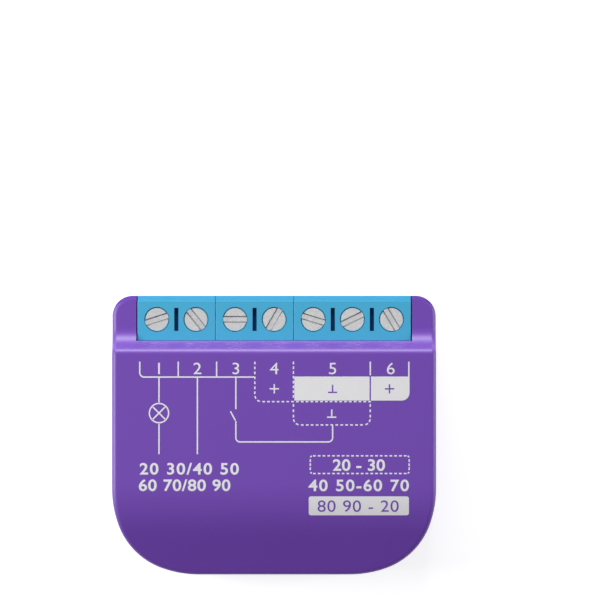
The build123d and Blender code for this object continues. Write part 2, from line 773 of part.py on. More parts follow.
# Relay winding, the copper between the flanges.
with BuildPart() as relay_winding:
    with BuildSketch(Plane((relay_x, coil_front_y + flange_thickness + running_gap, coil_z),
                           x_dir=(1, 0, 0), z_dir=(0, 1, 0))):
        Circle(winding_radius)
        Circle(tube_radius + running_gap, mode=Mode.SUBTRACT)
    extrude(amount=coil_length - 2 * (flange_thickness + running_gap))
relay_winding.part.label = "relay_winding"
export_step(relay_winding.part, "parts/relay_winding.step")

# Relay core, a pin through the bobbin, riveted in the yoke.
with BuildPart() as relay_core:
    with BuildSketch(Plane((relay_x, pole_face_y, coil_z), x_dir=(1, 0, 0), z_dir=(0, 1, 0))):
        Circle(core_radius)
    extrude(amount=yoke_rear_y - pole_face_y)
relay_core.part.label = "relay_core"
export_step(relay_core.part, "parts/relay_core.step")

# Relay yoke: it stands behind the coil, runs over it and carries the armature's edge.
with BuildPart() as relay_yoke:
    with Locations((relay_x, yoke_rear_y, yoke_top)):
        Box(yoke_width, yoke_thickness, yoke_top - relay_base_top,
            align=(Align.CENTER, Align.MAX, Align.MAX))
        Box(yoke_width, yoke_rear_y - yoke_front_y, yoke_thickness,
            align=(Align.CENTER, Align.MAX, Align.MAX))
    with Locations((relay_x, yoke_leg_y, leg_bottom)):
        Box(relay_leg_width, relay_leg_thickness, relay_base_top - leg_bottom, align=seated)
    with Locations(Plane((relay_x, yoke_rear_y, coil_z), z_dir=(0, 1, 0))):
        Hole(core_radius + running_gap, depth=yoke_thickness)
relay_yoke.part.label = "relay_yoke"
export_step(relay_yoke.part, "parts/relay_yoke.step")

# Relay armature: it rocks on the yoke's front edge towards the core.
with BuildPart() as relay_armature:
    with Locations((relay_x, armature_face_y, armature_top)):
        Box(yoke_width, armature_thickness, armature_length, align=(Align.CENTER, Align.MAX, Align.MAX))
relay_armature.part.label = "relay_armature"
export_step(relay_armature.part, "parts/relay_armature.step")

# Moving contact: a blade on the armature with a rivet at its lower end.
with BuildPart() as relay_moving_contact:
    with Locations((relay_x, blade_face_y, contact_z - rivet_radius)):
        Box(blade_width, blade_thickness, blade_top - contact_z + rivet_radius,
            align=(Align.CENTER, Align.MAX, Align.MIN))
    with BuildSketch(Plane((relay_x, blade_face_y, contact_z), x_dir=(1, 0, 0), z_dir=(0, 1, 0))):
        Circle(rivet_radius)
    extrude(amount=rivet_length)
relay_moving_contact.part.label = "relay_moving_contact"
export_step(relay_moving_contact.part, "parts/relay_moving_contact.step")

# Fixed contact: a strip that stands on the base, with its own rivet and leg.
with BuildPart() as relay_fixed_contact:
    with Locations((relay_x, fixed_strip_y, relay_base_top)):
        Box(blade_width, fixed_strip_thickness, contact_top - relay_base_top,
            align=(Align.CENTER, Align.MIN, Align.MIN))
    with Locations((relay_x, fixed_leg_y, leg_bottom)):
        Box(relay_leg_width, relay_leg_thickness, relay_base_top - leg_bottom, align=seated)
    with BuildSketch(Plane((relay_x, fixed_rivet_y, contact_z), x_dir=(1, 0, 0), z_dir=(0, 1, 0))):
        Circle(rivet_radius)
    extrude(amount=fixed_strip_y - fixed_rivet_y)
relay_fixed_contact.part.label = "relay_fixed_contact"
export_step(relay_fixed_contact.part, "parts/relay_fixed_contact.step")

# Return spring: a leaf on the yoke that bends down in front of the armature.
with BuildPart() as relay_return_spring:
    with Locations((relay_x, leaf_front_y, yoke_top)):
        Box(leaf_width, leaf_length, leaf_thickness, align=(Align.CENTER, Align.MIN, Align.MIN))
    with Locations((relay_x, leaf_front_y, yoke_top + leaf_thickness)):
        Box(leaf_width, leaf_thickness, leaf_drop, align=(Align.CENTER, Align.MIN, Align.MAX))
relay_return_spring.part.label = "relay_return_spring"
export_step(relay_return_spring.part, "parts/relay_return_spring.step")

# Coil pins: two legs from the rear flange through the base and the board.
with BuildPart() as relay_coil_pins:
    with Locations([(x, rear_flange_y, leg_bottom) for x in coil_pin_x]):
        Box(relay_leg_width, relay_leg_thickness, coil_z - flange_height / 2 - leg_bottom, align=seated)
relay_coil_pins.part.label = "relay_coil_pins"
export_step(relay_coil_pins.part, "parts/relay_coil_pins.step")

# Transformer core: a ferrite frame with a middle post.
with BuildPart() as transformer_core:
    with Locations((transformer_x, transformer_y, core_bottom)):
        Box(core_width, core_depth, core_height, align=seated)
    window_x = [transformer_x + side * (core_post + core_window) / 2 for side in (1, -1)]
    with Locations([(x, transformer_y, spool_bottom) for x in window_x]):
        Box(core_window, core_depth, core_window_height, align=seated, mode=Mode.SUBTRACT)
transformer_core.part.label = "transformer_core"
export_step(transformer_core.part, "parts/transformer_core.step")

# Transformer spool: a square tube round the post, two flanges and two pin rails.
with BuildPart() as transformer_spool:
    with Locations((transformer_x, transformer_y, spool_bottom)):
        Box(spool_width, spool_length, spool_height, align=seated)
        Box(flange_span_x, flange_span_y, spool_flange, align=seated)
    with Locations((transformer_x, transformer_y, spool_bottom + spool_height)):
        Box(flange_span_x, flange_span_y, spool_flange, align=hung)
    with Locations([(transformer_x, y, board_top) for y in rail_y]):
        Box(flange_span_x, rail_depth, spool_bottom + spool_flange - board_top, align=seated)
    with Locations((transformer_x, transformer_y, spool_bottom)):
        Box(core_post + 2 * fit_gap, core_depth + 2 * fit_gap, spool_height, align=seated,
            mode=Mode.SUBTRACT)
    with Locations([(x, y, leg_bottom) for x, y in transformer_pins]):
        Cylinder(lead_radius, board_top - leg_bottom, align=seated)
transformer_spool.part.label = "transformer_spool"
export_step(transformer_spool.part, "parts/transformer_spool.step")

# Transformer winding, wrapped in tape, between the flanges.
with BuildPart() as transformer_winding:
    with BuildSketch(Plane.XY.offset(spool_bottom + spool_flange + running_gap)):
        with Locations((transformer_x, transformer_y)):
            RectangleRounded(spool_width + 2 * winding_reach, spool_length + 2 * winding_reach,
                             winding_round)
            Rectangle(spool_width + 2 * running_gap, spool_length + 2 * running_gap, mode=Mode.SUBTRACT)
    extrude(amount=spool_height - 2 * (spool_flange + running_gap))
transformer_winding.part.label = "transformer_winding"
export_step(transformer_winding.part, "parts/transformer_winding.step")

# Filter capacitors: two upright cans with a crimp groove and a scored top.
with BuildPart() as filter_capacitors:
    for can_x, can_y in can_places:
        with BuildSketch(Plane((can_x, can_y, board_top), x_dir=(1, 0, 0), z_dir=(0, -1, 0))):
            with BuildLine():
                Polyline(
                    (0, 0), (can_radius, 0), (can_radius, can_groove_height),
                    (can_radius - can_groove_depth, can_groove_height + can_groove_depth),
                    (can_radius, can_groove_height + 2 * can_groove_depth), (can_radius, can_height),
                    (0, can_height), close=True,
                )
            make_face()
        revolve(axis=Axis((can_x, can_y, board_top), (0, 0, 1)))
        with Locations((can_x, can_y, board_top + can_height)):
            Box(can_radius, can_scribe_width, can_scribe_depth, align=hung, mode=Mode.SUBTRACT)
            Box(can_scribe_width, can_radius, can_scribe_depth, align=hung, mode=Mode.SUBTRACT)
    fillet(filter_capacitors.edges().filter_by(is_can_rim), can_edge)
    with Locations([(x, y, leg_bottom) for x, y in can_leads]):
        Cylinder(lead_radius, board_top - leg_bottom, align=seated)
filter_capacitors.part.label = "filter_capacitors"
export_step(filter_capacitors.part, "parts/filter_capacitors.step")

# Varistor: an upright disc with rounded faces, on two leads.
with BuildPart() as varistor:
    with Locations(Location((varistor_x, varistor_y, varistor_z), (0, right_turn, 0))):
        Cylinder(varistor_radius, varistor_thickness)
    fillet(varistor.edges().filter_by(GeomType.CIRCLE), varistor_edge)
    with Locations([(x, y, leg_bottom) for x, y in varistor_leads]):
        Cylinder(lead_radius, varistor_z - leg_bottom, align=seated)
varistor.part.label = "varistor"
export_step(varistor.part, "parts/varistor.step")

# Fusible resistor: it lies along Y, its leads bent down at both ends.
with BuildPart() as fusible_resistor:
    with Locations(Location((resistor_x, resistor_y, resistor_z), (right_turn, 0, 0))):
        Cylinder(resistor_radius, resistor_length)
        Cylinder(lead_radius - running_gap, resistor_lead_span)
    fillet(fusible_resistor.edges().filter_by(GeomType.CIRCLE).group_by(SortBy.RADIUS)[-1], least_radius)
    with Locations([(x, y, leg_bottom) for x, y in resistor_leads]):
        Cylinder(lead_radius, resistor_z + lead_radius - leg_bottom, align=seated)
fusible_resistor.part.label = "fusible_resistor"
export_step(fusible_resistor.part, "parts/fusible_resistor.step")


def leaded_chip(place_shares, size_shares, height, pins):
    """A flat chip with bent pins along both long sides, standing on the board."""
    x, y = place(place_shares)
    span, length = size(size_shares)
    gull_reach = gull_reach_share * span
    side_x = span / 2 - gull_reach
    pin_rows = [(side, i) for side in (1, -1) for i in range(pins)]
    with BuildPart() as chip:
        with Locations((x, y, board_top + fit_gap)):
            Box(2 * side_x, length, height - fit_gap, align=seated)
        chamfer(chip.faces().sort_by(Axis.Z)[-1].edges(), fit_gap)
        for side, i in pin_rows:
            pin_y = y + (i - (pins - 1) / 2) * length / pins
            with Locations((x + side * (side_x + gull_reach / 2), pin_y, board_top)):
                Box(gull_reach, gull_width, gull_thickness, align=seated)
            with Locations((x + side * (side_x + gull_thickness / 2), pin_y, board_top)):
                Box(gull_thickness, gull_width, gull_height, align=seated)
    return chip


# Bridge rectifier and power switch chip, both flat on the board.
bridge_rectifier = leaded_chip(
    rectifier_place_shares, rectifier_size_shares, rectifier_height, rectifier_pins)
bridge_rectifier.part.label = "bridge_rectifier"
export_step(bridge_rectifier.part, "parts/bridge_rectifier.step")

power_switch_chip = leaded_chip(
    power_chip_place_shares, power_chip_size_shares, power_chip_height, power_chip_pins)
power_switch_chip.part.label = "power_switch_chip"
export_step(power_switch_chip.part, "parts/power_switch_chip.step")

# Choke: an upright spool of ferrite, the winding in its waist.
with BuildPart() as choke:
    with BuildSketch(Plane((choke_x, choke_y, board_top), x_dir=(1, 0, 0), z_dir=(0, -1, 0))):
        with BuildLine():
            Polyline(
                (0, 0), (choke_radius, 0), (choke_radius, choke_flange),
                (choke_radius - choke_waist, choke_flange),
                (choke_radius - choke_waist, choke_height - choke_flange),
                (choke_radius, choke_height - choke_flange), (choke_radius, choke_height),
                (0, choke_height), close=True,
            )
        make_face()
    revolve(axis=Axis((choke_x, choke_y, board_top), (0, 0, 1)))
    with Locations([(x, y, leg_bottom) for x, y in choke_leads]):
        Cylinder(lead_radius, board_top - leg_bottom, align=seated)
choke.part.label = "choke"
export_step(choke.part, "parts/choke.step")

# Interference capacitor: a potted box on two leads.
with BuildPart() as interference_capacitor:
    with Locations((film_cap_x, film_cap_y, board_top)):
        Box(film_cap_width, film_cap_head_y - film_cap_tail_y, film_cap_height, align=seated)
    fillet(interference_capacitor.edges().filter_by(Axis.Z), film_cap_edge)
    fillet(interference_capacitor.faces().sort_by(Axis.Z)[-1].edges(), film_cap_edge)
    with Locations([(x, y, leg_bottom) for x, y in film_cap_leads]):
        Cylinder(lead_radius, board_top - leg_bottom, align=seated)
interference_capacitor.part.label = "interference_capacitor"
export_step(interference_capacitor.part, "parts/interference_capacitor.step")

# Current shunt and metering chip, flat under the board.
with BuildPart() as current_shunt:
    with Locations((shunt_x, shunt_y, board_bottom)):
        Box(shunt_width, shunt_length, shunt_height, align=hung)
current_shunt.part.label = "current_shunt"
export_step(current_shunt.part, "parts/current_shunt.step")

with BuildPart() as metering_chip:
    with Locations((meter_x, meter_y, board_bottom)):
        Box(meter_width, meter_length, meter_height, align=hung)
metering_chip.part.label = "metering_chip"
export_step(metering_chip.part, "parts/metering_chip.step")

# Radio board, its shield can, the chip under the can and the printed antenna.
with BuildPart() as radio_board:
    with Locations((radio_x, radio_y, board_top)):
        Box(radio_width, radio_length, radio_thickness, align=seated)
radio_board.part.label = "radio_board"
export_step(radio_board.part, "parts/radio_board.step")

with BuildPart() as radio_shield:
    with Locations((shield_x, radio_y, radio_top)):
        Box(shield_width, shield_length, shield_height, align=seated)
    fillet(radio_shield.edges().filter_by(Axis.Z), shield_edge)
    fillet(radio_shield.faces().sort_by(Axis.Z)[-1].edges(), shield_edge)
    with Locations((shield_x, radio_y, radio_top)):
        Box(shield_width - 2 * shield_wall, shield_length - 2 * shield_wall, shield_height - shield_wall,
            align=seated, mode=Mode.SUBTRACT)
radio_shield.part.label = "radio_shield"
export_step(radio_shield.part, "parts/radio_shield.step")

with BuildPart() as radio_chip:
    with Locations((shield_x, radio_y, radio_top)):
        Box(radio_chip_size, radio_chip_size, radio_chip_height, align=seated)
radio_chip.part.label = "radio_chip"
export_step(radio_chip.part, "parts/radio_chip.step")

antenna_points = []
for i in range(antenna_legs):
    leg_share = antenna_shift_share + (i - (antenna_legs - 1) / 2) * antenna_pitch_share
    leg_x = radio_x + leg_share * radio_width
    leg_reach = antenna_leg_share * radio_length / 2
    ends = (radio_y - leg_reach, radio_y + leg_reach)
    antenna_points += [(leg_x, y) for y in (ends if i % 2 == 0 else reversed(ends))]

with BuildPart() as antenna_trace:
    with BuildSketch(Plane.XY.offset(radio_top)):
        with BuildLine():
            Polyline(*antenna_points)
        trace(line_width=antenna_width)
    extrude(amount=antenna_thickness)
antenna_trace.part.label = "antenna_trace"
export_step(antenna_trace.part, "parts/antenna_trace.step")

# Chip components: small resistors and capacitors in two rows.
row_x, row_y = place(chip_row_place_shares)
side_x, side_y = place(chip_side_place_shares)
row_places = [(row_x + (i - (chip_row_count - 1) / 2) * chip_row_pitch_share * bay_width, row_y)
              for i in range(chip_row_count)]
side_places = [(side_x, side_y + (i - (chip_side_count - 1) / 2) * chip_side_pitch_share * bay_length)
               for i in range(chip_side_count)]
chip_places = row_places + side_places

with BuildPart() as chip_components:
    with Locations([(x, y, board_top) for x, y in chip_places]):
        Box(chip_width, chip_length, chip_height, align=seated)
chip_components.part.label = "chip_components"
export_step(chip_components.part, "parts/chip_components.step")

# Right-angle switch behind the button, with a bore for its plunger.
with BuildPart() as switch_body:
    with Locations((switch_face, button_y, board_top)):
        Box(switch_depth, switch_length, switch_height, align=(Align.MAX, Align.CENTER, Align.MIN))
    with Locations(Plane((switch_face, button_y, button_z), z_dir=(1, 0, 0))):
        Hole(plunger_radius + running_gap, depth=plunger_hold + button_travel + running_gap)
switch_body.part.label = "switch_body"
export_step(switch_body.part, "parts/switch_body.step")

with BuildPart() as switch_plunger:
    with BuildSketch(Plane((switch_face - plunger_hold, button_y, button_z), z_dir=(1, 0, 0))):
        Circle(plunger_radius)
    extrude(amount=plunger_hold + switch_stand)
switch_plunger.part.label = "switch_plunger"
export_step(switch_plunger.part, "parts/switch_plunger.step")

# Button cap: a round stem through the wall, kept in by a flange.
with BuildPart() as button_cap:
    with BuildSketch(Plane((button_flange_x, button_y, button_z), z_dir=(1, 0, 0))):
        Circle(button_flange_radius)
    extrude(amount=button_flange_thickness)
    with BuildSketch(Plane((button_flange_x, button_y, button_z), z_dir=(1, 0, 0))):
        Circle(button_radius)
    extrude(amount=half_width - button_sink - button_flange_x)
    fillet(button_cap.faces().sort_by(Axis.X)[-1].edges(), button_edge)
button_cap.part.label = "button_cap"
export_step(button_cap.part, "parts/button_cap.step")

# Status light and the clear pipe that shows it in the side wall.
with BuildPart() as status_light:
    with Locations((light_face, light_y, board_top)):
        Box(light_depth, light_width, 2 * light_height, align=(Align.MAX, Align.CENTER, Align.MIN))
status_light.part.label = "status_light"
export_step(status_light.part, "parts/status_light.step")

with BuildPart() as light_pipe:
    with BuildSketch(Plane((light_face + fit_gap, light_y, light_z), z_dir=(1, 0, 0))):
        Circle(light_pipe_radius)
    extrude(amount=half_width - light_pipe_sink - light_face - fit_gap)
light_pipe.part.label = "light_pipe"
export_step(light_pipe.part, "parts/light_pipe.step")
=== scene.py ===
import json
import math

import bmesh
import bpy
from mathutils import Matrix, Vector
from mathutils.bvhtree import BVHTree


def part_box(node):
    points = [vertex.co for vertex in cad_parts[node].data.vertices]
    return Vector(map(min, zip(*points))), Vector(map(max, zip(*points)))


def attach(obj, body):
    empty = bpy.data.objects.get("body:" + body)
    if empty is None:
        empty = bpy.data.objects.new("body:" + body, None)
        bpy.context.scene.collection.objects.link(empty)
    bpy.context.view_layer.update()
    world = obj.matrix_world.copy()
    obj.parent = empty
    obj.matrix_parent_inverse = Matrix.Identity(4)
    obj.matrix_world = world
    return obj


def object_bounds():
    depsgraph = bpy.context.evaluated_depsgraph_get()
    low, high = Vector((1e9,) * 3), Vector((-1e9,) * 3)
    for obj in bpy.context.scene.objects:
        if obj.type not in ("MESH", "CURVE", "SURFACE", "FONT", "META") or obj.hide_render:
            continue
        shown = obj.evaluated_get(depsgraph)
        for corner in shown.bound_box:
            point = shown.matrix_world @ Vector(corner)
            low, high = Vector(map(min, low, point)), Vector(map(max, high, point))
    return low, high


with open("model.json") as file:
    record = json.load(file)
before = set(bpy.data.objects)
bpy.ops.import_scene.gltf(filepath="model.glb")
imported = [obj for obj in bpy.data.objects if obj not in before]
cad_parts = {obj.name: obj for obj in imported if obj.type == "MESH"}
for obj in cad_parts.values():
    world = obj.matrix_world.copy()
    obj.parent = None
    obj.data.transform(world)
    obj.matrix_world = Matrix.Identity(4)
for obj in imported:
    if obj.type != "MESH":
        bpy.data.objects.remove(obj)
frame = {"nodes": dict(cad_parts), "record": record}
low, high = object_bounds()

bl_info = {
    "name": "Smart relay module",
    "version": (1, 0, 0),
    "blender": (4, 5, 0),
    "location": "3D View > Sidebar > Relay module",
    "description": "Finishes, printed marks and studio for a relay module in a moulded case",
    "category": "Object",
}

# Printed marks are drawn flat in millimetres on the front face, x to the right and y to
# the terminals, from the same origin as the case. Rows of the diagram, from the top:
FIELD_TOP = 9.57
NUMBER_ROW = 8.68
LAST_LINE_END = 7.80
BOX_TOP = 7.64
BRACKET = 7.57
PLUS_ROW = 6.05
BOX_BOTTOM = 4.53
DASHED_ROW = 4.39
LAMP_TOP = 4.29
SWITCH_TOP = 3.42
LAMP_ROW = 2.905
SWITCH_FOOT = 1.86
LAMP_FOOT = 1.52
DASHED_FOOT = 1.37
WIRE_ROW = -0.83
WIRE_END = -2.42
# Lines between the fields, and their middles, from the left:
FIELD_LINES = (-17.39, -12.41, -7.44, -2.49, 2.51, 12.46, 17.455)
FIELD_CENTRES = (-14.90, -9.93, -4.95, 0.02, 7.58, 15.12)
# Ends of the switch lever as x, y, x and y:
SWITCH_LEVER = (-5.65, 3.14, -5.0, 1.94)
# Gap between a dashed line and the filled field beside it, and between the dashed row and
# the dashes that end above it and start below it:
FIELD_GAP = 0.03
ROW_GAPS = (0.5, 0.32)
# Corner radii of the wires, of the dashed outlines, of the last filled field and of the
# legend boxes:
WIRE_BEND = 0.55
DASHED_BEND = 0.87
FIELD_BEND = 1.0
LEGEND_BEND = 0.3
# A dashed corner is two dashes: the turn of each and the turn from one to the next, in
# degrees, and how far the straight dashes stop before the corner.
CORNER_DASH = 24
CORNER_STEP = 41
CORNER_GAP = 0.1
# The dashed legend has one dash at a corner: its turn in degrees, and how far the dashes
# along x and along y stop before the corner of the box.
LEGEND_DASH = 50
LEGEND_GAPS = (0.35, 0.45)
# Radius and arm of the lamp sign, and the lines of the plus and earth signs:
LAMP_RADIUS = 1.25
LAMP_ARM = 1.12
SIGN_ARM = 0.6
EARTH_BAR = -0.23
EARTH_TIP = 0.77
# Signs as kind, x and y, for each ink:
LIGHT_SIGNS = (("plus", 0.03, PLUS_ROW), ("earth", 7.47, 2.60))
DARK_SIGNS = (("plus", 14.95, PLUS_ROW), ("earth", 7.58, 5.82))
# Rows of bold figures as text, left and right end, and middle height:
BOLD_ROWS = (("20 30/40 50", -17.40, -4.56, -4.31), ("60 70/80 90", -17.51, -5.65, -6.44),
             ("20 - 30", 7.61, 14.37, -3.83), ("40 50-60 70", 4.46, 17.47, -6.46))
# The row of dark figures as text, middle and width:
DARK_ROW = ("80 90 - 20", 10.89, -9.15, 10.5)
# Dashed and filled legend boxes as left, bottom, right and top:
DASHED_LEGEND = (4.70, -4.92, 17.50, -2.63)
FILLED_LEGEND = (4.49, -10.34, 17.47, -7.88)

# Top and underside of the ink over the case, in millimetres. The dark marks lie on the
# light fields.
LIGHT_LAYER = (0.012, -0.008)
DARK_LAYER = (0.018, 0.004)
# The tail of the case is curved from this y on, and the ink there is cut at this pitch
# so that it follows the curve.
TAIL_START = -5.5
TAIL_PITCH = 0.3
TAIL_CUTS = 40
# Height in metres over the case from which the marks are dropped on it
DROP_HEIGHT = 0.01

# Bars of painted shade in the slots between the screws, in metres: width, length, height, how deep
# the top lies, edge radius, and the least distance from the end of a block
BAR_SIZE = (0.00052, 0.00298, 0.0014)
BAR_DEPTH = 0.0004
BAR_EDGE = 0.00006
BAR_CLEAR = 0.001

# Studio, in metres: the point that the lamps look at, and each lamp as name, place and
# size. Its power is the value of the same name among the studio values.
LAMP_AIM = (0, 0, 0.01)
LAMPS = (("key", (-0.06, 0.65, 0.24), (0.36, 0.22)), ("top", (0, 0, 0.60), (0.20, 0.20)),
         ("left", (-0.35, 0.03, 0.22), (0.15, 0.30)), ("right", (0.55, 0.05, 0.20), (0.12, 0.40)))
FLOOR_HALF = 2.0
FLOOR_DROP = 0.0001
FLOOR_LIFT = 0.75
# The camera's place over the front face, and the width in millimetres that it sees there
CAMERA_PLACE = (0.00336, 0.01755)
VIEW_WIDTH_MM = 77.7
SENSOR_MM = 36.0


# Small tools

def linear(colour):
    """Linear RGBA of an sRGB hex colour such as 744CAC."""
    shares = [int(colour[i:i + 2], 16) / 255 for i in (0, 2, 4)]
    return [s / 12.92 if s <= 0.04045 else ((s + 0.055) / 1.055) ** 2.4 for s in shares] + [1.0]


def put(tree, kind, settings=None, values=None, links=None):
    """Adds a node, gives it settings and socket values, and links outputs to its sockets."""
    made = tree.nodes.new(kind)
    for key, value in (settings or {}).items():
        setattr(made, key, value)
    for key, value in (values or {}).items():
        made.inputs[key].default_value = value
    for key, source in (links or {}).items():
        tree.links.new(source, made.inputs[key])
    return made


def finish(name, colour, other, patch_mm, grain_mm, grain_depth_mm, roughness, stretch=(1, 1, 1),
           steep_shade=None, **shader):
    """A finish with slow patches between two near colours, fine grain and uneven gloss.
    Steep faces may take a darker colour of their own and less metal: painted shade on them."""
    made = bpy.data.materials.new(name)
    made.use_nodes = True
    tree = made.node_tree
    tree.nodes.clear()
    where = put(tree, "ShaderNodeTexCoord").outputs
    laid = put(tree, "ShaderNodeMapping", values={"Scale": stretch}, links={"Vector": where["Object"]})
    patch = put(tree, "ShaderNodeTexNoise", values={"Scale": 1000 / patch_mm, "Detail": 3.0},
                links={"Vector": laid.outputs["Vector"]})
    grain = put(tree, "ShaderNodeTexNoise",
                values={"Scale": 1000 / grain_mm, "Detail": 2.0, "Roughness": 0.6},
                links={"Vector": laid.outputs["Vector"]})
    tint = put(tree, "ShaderNodeMix", {"data_type": "RGBA"}, {6: linear(colour), 7: linear(other)},
               {0: patch.outputs["Fac"]})
    # Painted shade: faces that stand steep in the object turn toward a darker colour with less metal.
    if steep_shade:
        lean = put(tree, "ShaderNodeSeparateXYZ", links={"Vector": where["Normal"]})
        upright = put(tree, "ShaderNodeMath", {"operation": "ABSOLUTE"}, links={0: lean.outputs["Z"]})
        share, metal = (
            put(tree, "ShaderNodeMapRange",
                values={"From Min": 0.6, "From Max": 0.45, "To Min": flat, "To Max": wall},
                links={"Value": upright.outputs[0]})
            for flat, wall in ((0.0, 1.0), (1.0, 0.2)))
        tint = put(tree, "ShaderNodeMix", {"data_type": "RGBA"}, {7: linear(steep_shade)},
                   {0: share.outputs["Result"], 6: tint.outputs[2]})
    gloss = put(tree, "ShaderNodeMapRange",
                values={"From Min": 0.3, "From Max": 0.7, "To Min": roughness[0], "To Max": roughness[1]},
                links={"Value": grain.outputs["Fac"]})
    relief = put(tree, "ShaderNodeBump", values={"Strength": 1.0, "Distance": grain_depth_mm / 1000},
                 links={"Height": grain.outputs["Fac"]})
    skin = put(tree, "ShaderNodeBsdfPrincipled", values=shader, links={
        "Base Color": tint.outputs[2], "Roughness": gloss.outputs["Result"],
        "Normal": relief.outputs["Normal"]})
    if steep_shade:
        tree.links.new(metal.outputs["Result"], skin.inputs["Metallic"])
    put(tree, "ShaderNodeOutputMaterial", links={"Surface": skin.outputs["BSDF"]})
    return made


def dress(slot, made):
    """Gives a finish to every carried-over node of a material slot."""
    for row in frame["record"]["subparts"]:
        if row["material_slot"] == slot:
            node = frame["nodes"][row["node"]]
            node.data.materials.clear()
            node.data.materials.append(made)


def bar(flat, x0, y0, x1, y1, width):
    """A straight stroke of ink between two points."""
    run = Vector((x1 - x0, y1 - y0, 0))
    turn = Matrix.Rotation(math.atan2(run.y, run.x), 4, "Z")
    place = Matrix.Translation(((x0 + x1) / 2, (y0 + y1) / 2, 0))
    bmesh.ops.create_grid(flat, x_segments=1, y_segments=1, size=0.5,
                          matrix=place @ turn @ Matrix.Diagonal((run.length, width, 1, 1)))


def bend(flat, x, y, radius, start, turn, width, steps=8):
    """A curved stroke of ink round a centre, from an angle in degrees through a turn."""
    angle = math.radians(start)
    ends = [flat.verts.new((x + r * math.cos(angle), y + r * math.sin(angle), 0))
            for r in (radius - width / 2, radius + width / 2)]
    edge = flat.edges.new(ends)
    bmesh.ops.spin(flat, geom=[*ends, edge], cent=(x, y, 0), axis=(0, 0, 1), angle=math.radians(turn),
                   steps=steps, use_merge=abs(turn) == 360)


def dashes(flat, x0, y0, x1, y1, width, on, off):
    """A broken stroke that starts and ends with a dash."""
    run = Vector((x1 - x0, y1 - y0))
    count = max(1, round((run.length + off) / (on + off)))
    step = (run.length - on) / max(1, count - 1)
    way = run.normalized()
    for i in range(count):
        a = Vector((x0, y0)) + way * step * i
        b = a + way * on
        bar(flat, a.x, a.y, b.x, b.y, width)


def field(flat, x0, y0, x1, y1, radii):
    """A filled field of ink with a radius for each corner, from the lower left anticlockwise."""
    corners = [flat.verts.new((x, y, 0)) for x, y in ((x0, y0), (x1, y0), (x1, y1), (x0, y1))]
    flat.faces.new(corners)
    for corner, radius in zip(corners, radii):
        if radius:
            bmesh.ops.bevel(flat, geom=[corner], offset=radius, segments=6, profile=0.5, affect="VERTICES",
                            material=-1)


def numerals(flat, text, x, y, height, boldness=0.0, width=None, stretch=1.12):
    """A row of numerals, centred on a point, its letter spacing fitted to a width."""
    curve = bpy.data.curves.new("numerals", "FONT")
    curve.offset = boldness
    holder = bpy.data.objects.new("numerals", curve)

    def set_type(body, spacing):
        curve.body, curve.space_character = body, spacing
        shape = bpy.data.meshes.new_from_object(holder)
        xs, ys = zip(*((v.co.x, v.co.y) for v in shape.vertices))
        return shape, min(xs), max(xs), min(ys), max(ys)

    figure, _, _, foot, head = set_type("0", 1.0)
    scale = height / (head - foot)
    spacing = 1.0
    shape, left, right, _, _ = set_type(text, spacing)
    if width:
        # A trial with wider spacing tells how much the row gains by it.
        trial = 0.2
        wider, left_2, right_2, _, _ = set_type(text, spacing + trial)
        gain = (right_2 - left_2) - (right - left)
        spacing += trial * (width / scale / stretch - (right - left)) / gain
        bpy.data.meshes.remove(wider)
        bpy.data.meshes.remove(shape)
        shape, left, right, _, _ = set_type(text, spacing)
    shape.transform(Matrix.Translation((x, y, 0)) @ Matrix.Diagonal((scale * stretch, scale, 1, 1))
                    @ Matrix.Translation((-(left + right) / 2, -(foot + head) / 2, 0)))
    flat.from_mesh(shape)
    for done in (figure, shape):
        bpy.data.meshes.remove(done)
    bpy.data.objects.remove(holder)
    bpy.data.curves.remove(curve)


def add_piece(flat, name, finished):
    """Makes a piece of the module from a bmesh and frees it."""
    shape = bpy.data.meshes.new(name)
    flat.to_mesh(shape)
    flat.free()
    shape.materials.append(finished)
    piece = bpy.data.objects.new(name, shape)
    bpy.context.scene.collection.objects.link(piece)
    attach(piece, "module")
    return shape


def lay_ink(flat, name, light=True):
    """Lays flat marks on the front of the case as a thin closed layer of ink. The dark
    marks have the finish of the case, as if the light ink were left out there."""
    housing = frame["nodes"]["front_housing"]
    front = BVHTree.FromObject(housing, bpy.context.evaluated_depsgraph_get())
    bmesh.ops.remove_doubles(flat, verts=flat.verts[:], dist=0.0005)
    for i in range(TAIL_CUTS):
        bmesh.ops.bisect_plane(flat, geom=flat.verts[:] + flat.edges[:] + flat.faces[:], dist=0.0001,
                               plane_co=(0, TAIL_START - TAIL_PITCH * i, 0), plane_no=(0, 1, 0))
    bmesh.ops.triangulate(flat, faces=flat.faces[:])
    raised = bmesh.ops.extrude_face_region(flat, geom=flat.faces[:], use_keep_orig=True)
    upper = {v for v in raised["geom"] if isinstance(v, bmesh.types.BMVert)}
    rise, foot = LIGHT_LAYER if light else DARK_LAYER
    for v in flat.verts:
        x, y = v.co.x / 1000, v.co.y / 1000
        hit = front.ray_cast(Vector((x, y, high.z + DROP_HEIGHT)), Vector((0, 0, -1)))[0]
        v.co = (x, y, hit.z + (rise if v in upper else foot) / 1000)
    bmesh.ops.recalc_face_normals(flat, faces=flat.faces[:])
    ink = light_ink() if light else housing.data.materials[0]
    shape = add_piece(flat, name, ink)
    shape.shade_smooth()
    shape.set_sharp_from_angle(angle=math.radians(30))


def light_ink():
    """The light ink, made once: pad-printed, matt, faintly uneven in cover."""
    made = bpy.data.materials.get("light printing ink")
    return made or finish(
        "light printing ink", bpy.context.scene.relay_case.ink_colour, "E0DFE3", patch_mm=1.5,
        grain_mm=0.12, grain_depth_mm=0.001, roughness=(0.5, 0.6), IOR=1.45)


